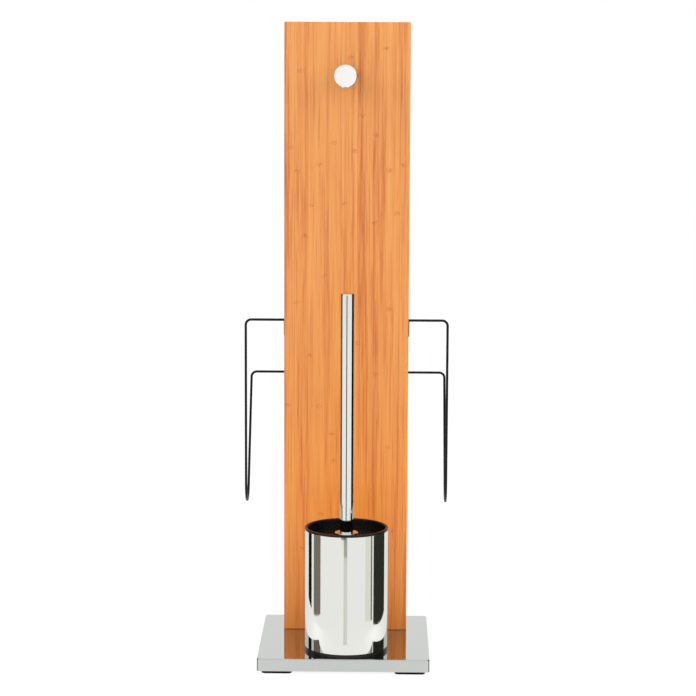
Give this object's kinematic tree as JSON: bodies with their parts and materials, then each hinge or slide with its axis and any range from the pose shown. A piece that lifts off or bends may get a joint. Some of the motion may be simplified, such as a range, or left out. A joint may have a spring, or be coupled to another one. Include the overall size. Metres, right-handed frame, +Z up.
{
  "type": "toilet roll and brush stand",
  "caption": "Free-standing bathroom stand: bamboo board on a mirror steel base, with a spare-roll rod, a folded wire magazine rack behind and a steel canister with a toilet brush.",
  "frame": {"origin": "on the floor under the feet, in the middle of the overall outline seen from above", "axes": "+Z up, -Y towards the user (the way the roll rod points), +X to the right as seen from the user"},
  "size_m": [0.245, 0.271, 0.7465],
  "materials": {
    "mirror_steel": "mirror-polished stainless steel",
    "polished_steel": "polished stainless steel tube",
    "bright_chrome": "bright chrome plate",
    "zinc_screw": "zinc-plated steel",
    "black_screw": "blackened steel",
    "raw_iron": "raw plate",
    "bamboo": "caramel bamboo strips, clear satin varnish",
    "black_coat": "black powder coat",
    "black_panel": "matte black sheet",
    "black_plastic": "glossy black moulding",
    "black_rubber": "matte black rubber",
    "bristle": "black filaments"
  },
  "bodies": {
    "stand": {"base_cover": "mirror_steel", "base_weight": "raw_iron", "base_bottom_panel": "black_panel", "base_panel_screws": "zinc_screw", "foot_pad_front_left": "black_rubber", "foot_pad_front_right": "black_rubber", "foot_pad_back_left": "black_rubber", "foot_pad_back_right": "black_rubber", "back_board": "bamboo", "board_screws": "zinc_screw", "roll_rod": "polished_steel", "rod_end_cap": "polished_steel", "rod_threaded_insert": "black_plastic", "rod_washer": "zinc_screw", "rod_screw": "zinc_screw", "rack_wire": "black_coat", "rack_plate": "black_coat", "rack_screws": "black_screw"},
    "canister": {"canister_sleeve": "polished_steel", "canister_liner": "black_plastic", "canister_foot_ring": "black_plastic"},
    "brush": {"handle_tube": "polished_steel", "handle_end_cap": "polished_steel", "handle_threaded_insert": "black_plastic", "handle_collar": "bright_chrome", "brush_lid": "black_plastic", "brush_stud": "zinc_screw", "brush_core": "black_plastic", "brush_bristles": "bristle"}
  },
  "joints": [
    {"name": "canister_lift", "type": "slide", "parent": "stand", "child": "canister", "axis": [0, 0, 1], "range_m": [0, 0.04]},
    {"name": "brush_lift", "type": "slide", "parent": "canister", "child": "brush", "axis": [0, 0, 1], "range_m": [0, 0.145]}
  ]
}
